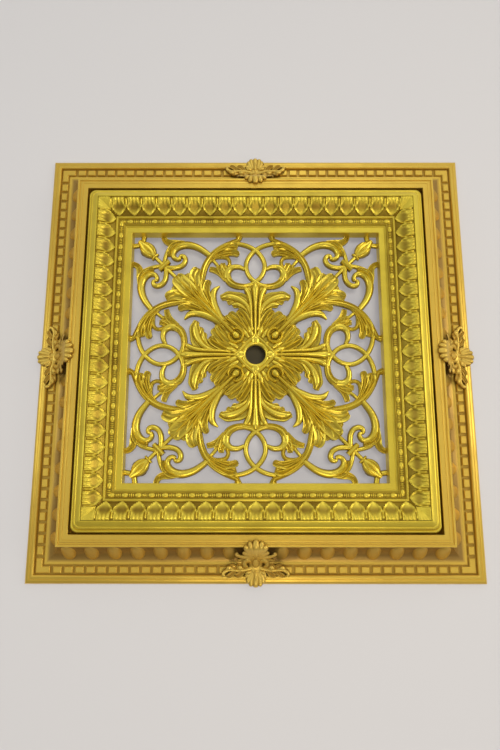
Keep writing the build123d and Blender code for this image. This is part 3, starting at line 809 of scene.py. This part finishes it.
fourfold_round = [
    (6.5, (135, 135, 6.5), (160, 160, 6.5), (190, 190, 6.5)),
    (12, (155.5, 172.5, 8), (164, 164, 8.5), (172.5, 155.5, 8)),
    (13.5, (37, 37, 5.5), (50, 50, 6.5), (62, 62, 8), (76, 76, 9), (92, 92, 7), (115, 115, 5),
     (138, 138, 2)),
    (11.5, (0, 20.5, 16), (0, 25, 21), (0, 30, 17), (0, 37, 3)),
    (11, (17.5, 17.5, 4), (20.5, 20.5, 8), (24, 24, 3)),
    (11.5, (0, 36, 5), (0, 62, 6), (0, 92, 8), (0, 112, 12), (0, 123, 15), (0, 130, 6)),
    (9.5, (175.5, 186.5, 4), (181, 181, 5), (186.5, 175.5, 4)),
    (4, (0, 40, 30), (0, 66, 28), (0, 92, 18), (0, 108, 10)),
    (3.5, (30, 30, 34), (46, 46, 30), (62, 62, 22), (84, 84, 28), (104, 104, 44), (120, 120, 40),
     (134, 134, 16)),
    (10, (182, 182, 7), (187.5, 187.5, 17), (193, 193, 26), (198, 198, 26), (203, 203, 18),
     (210, 210, 9)),
    (13, (184, 184, 4), (194, 194, 6), (206, 206, 3)),
    (16, (29, 29, 4), (31, 31, 11), (34, 34, 14), (37, 37, 11), (39.5, 39.5, 6)),
]
fourfold_ribbed = [
    (9, (36, 36, 10), (50, 50, 15), (64, 64, 18), (80, 80, 19), (96, 96, 20)),
]
fourfold_leaf = [
    (10, (98, 98, 16), (120, 120, 28), (132, 132, 28), (143, 143, 10)),
    (7, (0, 32, 14), (0, 60, 18), (0, 90, 22), (0, 110, 32), (0, 123, 26)),
]
scroll_gold = gold_paint("scroll_gold", (0.84, 0.64, 0.06), (0.20, 0.12, 0.008), 0.19, 0.15)
strand_steps = 4
strand_sizes = {"Section": round_section, "Steps": strand_steps, "Back": panel_back * mm,
                "Eightfold": True, "Gold": scroll_gold}
strand_moulding, given, out, strands_up = strand_tree("strand_moulding", strand_sizes)
mirrored = add_node(strand_moulding, "GeometryNodeSwitch", {
    "Switch": given["Eightfold"], "False": strands_up, "True": both_arms(strand_moulding, strands_up)},
    input_type="GEOMETRY").outputs[0]
whole = four_sides(strand_moulding, mirrored)
strand_moulding.links.new(painted(strand_moulding, whole, given["Gold"]), out)
for name, strands, section_used, eightfold, fuller in (
    ("scroll_stems", eightfold_round, round_section, True, 1.8),
    ("scroll_ribs", eightfold_ribbed, ribbed_section, True, 1.8),
    ("scroll_leaves", eightfold_leaf, leaf_section, True, 3.4),
    ("axis_stems", fourfold_round, round_section, False, 1.2),
    ("axis_ribs", fourfold_ribbed, ribbed_section, False, 1.8),
    ("axis_leaves", fourfold_leaf, leaf_section, False, 3.4),
):
    strand_sizes.update({"Section": section_used, "Eightfold": eightfold})
    piece = chain_object(name, strands, fuller, blunt=section_used is leaf_section)
    settle(piece, strand_moulding, sharp=45, **strand_sizes)
    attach(piece, "root")
    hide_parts("centre_panel")

# The boss of the scrollwork, a ring turned about the lamp hole, from its radii and heights
hole_radius, boss_radius, collar_radius, boss_dark, boss_steps = 17.2, 50, 25, 0.5, 64
boss_section = [
    (hole_radius, panel_back), (boss_radius, panel_back), (boss_radius, 29), (47, 31), (38, 32.6),
    (28, 33.4), (24.5, 34), (23, 36.2), (21, 37), (19, 36.6), (17.6, 35.4), (hole_radius, 34)]
boss_points = []
for k in range(boss_steps):
    turn = 2 * math.pi * k / boss_steps
    boss_points += [(r * math.cos(turn), r * math.sin(turn), z) for r, z in boss_section]
hub = plain_mesh("lamp_boss", boss_points, tube_faces(boss_steps, len(boss_section)), smooth=40)
# Painted shade on the boss outside the collar
hub_shade = [boss_dark if r > collar_radius else 0.0 for r, z in boss_section]
hub.data.attributes.new("hollow", "FLOAT", "POINT").data.foreach_set("value", hub_shade * boss_steps)
hub.data.materials.append(scroll_gold)
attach(hub, "root")
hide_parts("centre_panel")


# The clasps: four leaf castings in duller gold that cover the frame's joints at the middle of each side.
# Each bridges the cove from the rim to the top lip, with a shell below, a palmette above and a sprig to
# each side.
clasp_gold = gold_paint("clasp_gold", (0.74, 0.50, 0.085), (0.25, 0.13, 0.02), 0.38, 0.3)
clasp_fuller = 1.6
bridge_u = (-5, 0, 15, 28, 36, 46, 56, 63, 66, 80)
bridge_z = (6.5, 10, 10.8, 10, 15, 30, 48, 60.4, 61, 61)


def both_hands(strands):
    """Each strand and its mirror image, where it stands off the middle line."""
    mirrored = []
    for rise, *strand in strands:
        if any(x for x, u, width in strand):
            mirrored.append((rise, *((-x, u, width) for x, u, width in strand)))
    return strands + mirrored


# Each strand is its rise above the bridge, then its points: place along the side, u, and width
clasp_round = both_hands([
    (4.5, (0, 2, 12), (0, 20, 20), (0, 38, 24), (0, 54, 18), (0, 74, 8)),
    (9.5, (0, 28, 5), (0, 33, 12), (0, 38, 12), (0, 43, 5)),
    (8.5, (0, 47, 4), (0, 52, 9), (0, 57, 4)),
    (8.5, (0, 24, 4), (0, 14, 6), (0, 3, 3)),
    (8, (8, 38, 5), (13, 40, 9), (18, 37, 8), (18, 31, 7), (13, 29, 4)),
    (8, (21, 25, 4), (26, 27.5, 9), (31, 26, 4)),
    (7.5, (39, 25, 4), (44, 27, 8), (49, 25, 4)),
    (7, (8, 22, 4), (12, 20, 8), (17, 18, 4)),
    (5, (6, 27, 7), (18, 24, 6), (30, 23, 5), (42, 24, 5), (50, 22, 6), (54, 17, 5), (51, 14, 4)),
    (6, (6, 45, 7), (16, 46, 7), (25, 48, 6), (31, 52, 6), (29, 56, 4)),
])
clasp_lobes = both_hands([
    (6.5, (0, 20, 9), (0, 8, 11), (0, -3.8, 6)),
    (6, (4, 19, 7), (7, 8, 8), (8, -2.6, 4)),
    (6, (6, 20, 7), (11, 11, 8), (13, 3, 4)),
    (5, (7, 22, 6), (13, 17, 7), (17, 12, 3)),
    (7, (0, 48, 10), (0, 64, 13), (0, 77, 6)),
    (6.5, (3, 50, 8), (8, 64, 9), (10, 75, 4)),
    (6, (5, 50, 8), (13, 60, 9), (17, 69, 4)),
    (6, (6, 48, 8), (15, 53, 8), (21, 57, 3)),
])
clasp_leaf = both_hands([
    (6, (18, 24, 6), (23, 30, 8), (31, 33, 3)),
    (5.5, (30, 23, 5), (36, 29, 8), (44, 31, 3)),
    (6, (20, 23, 6), (26, 17, 8), (34, 14, 3)),
    (5.5, (34, 22, 5), (40, 17, 7), (48, 13, 3)),
    (5.5, (14, 44, 6), (22, 40, 8), (32, 39, 3)),
])
clasp_sizes = {"Section": round_section, "Steps": strand_steps, "Back": 0.0, "Gold": clasp_gold}
strand_casting, given, out, strands_up = strand_tree("strand_casting", clasp_sizes)
strand_casting.links.new(painted(strand_casting, strands_up, given["Gold"]), out)
front_parts = []
for name, strands, section_used in (
    ("stem", clasp_round, round_section),
    ("lobes", clasp_lobes, round_section),
    ("leaf", clasp_leaf, leaf_section),
):
    clasp_sizes["Section"] = section_used
    part = chain_object("clasp_front_" + name, strands, clasp_fuller, blunt=name != "stem")
    settle(part, strand_casting, sharp=45, **clasp_sizes)
    places = np.empty(len(part.data.vertices) * 3)
    part.data.vertices.foreach_get("co", places)
    places = places.reshape(-1, 3)
    places[:, 2] += np.interp(places[:, 1] / mm, bridge_u, bridge_z) * mm
    places[:, 1] -= half_side * mm
    part.data.vertices.foreach_set("co", places.ravel())
    front_parts.append(part)
clasp_parts = list(front_parts)
for node, degrees in (("clasp_right", 90), ("clasp_back", 180), ("clasp_left", 270)):
    for part in front_parts:
        clasp_parts.append(copy_turned(part, part.name.replace("clasp_front", node), degrees))
for part in clasp_parts:
    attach(part, "root")
    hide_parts(part.name.rsplit("_", 1)[0])
for unit in (round_section, ribbed_section, leaf_section):
    bpy.data.objects.remove(unit)
